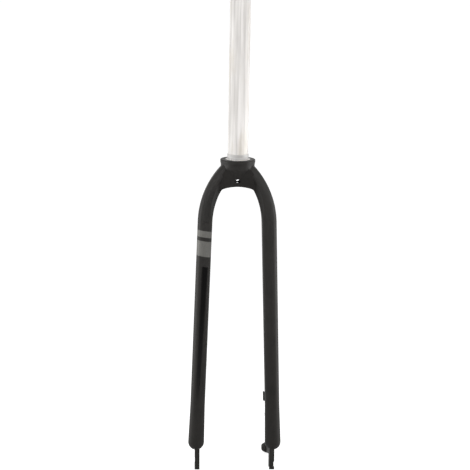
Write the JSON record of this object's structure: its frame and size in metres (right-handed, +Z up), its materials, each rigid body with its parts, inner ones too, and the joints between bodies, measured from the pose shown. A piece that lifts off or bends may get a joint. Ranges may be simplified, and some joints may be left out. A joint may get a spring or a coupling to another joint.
{
  "type": "rigid bicycle fork",
  "caption": "Rigid bicycle fork with a bare steerer tube, an arched crown, straight tapered legs, slotted dropouts and a disc brake mount.",
  "frame": {"origin": "centre of the crown race shoulder, where the steerer tube leaves the crown", "axes": "+Z up along the steering axis, -Y towards the front of the bicycle, +X towards the bicycle's left, which carries the disc brake"},
  "size_m": [0.1328, 0.0852, 0.6667],
  "materials": {
    "bare_aluminium": "drawn tube, bare, with faint lengthwise streaks",
    "black_paint": "satin black paint",
    "banded_paint": "gloss black paint with plain grey bands near the top"
  },
  "bodies": {
    "root": {"steerer_tube": "bare_aluminium", "fork_crown": "black_paint", "right_blade": "banded_paint", "left_blade": "black_paint", "right_dropout": "black_paint", "left_dropout": "black_paint", "hose_guide": "black_paint"}
  },
  "joints": []
}
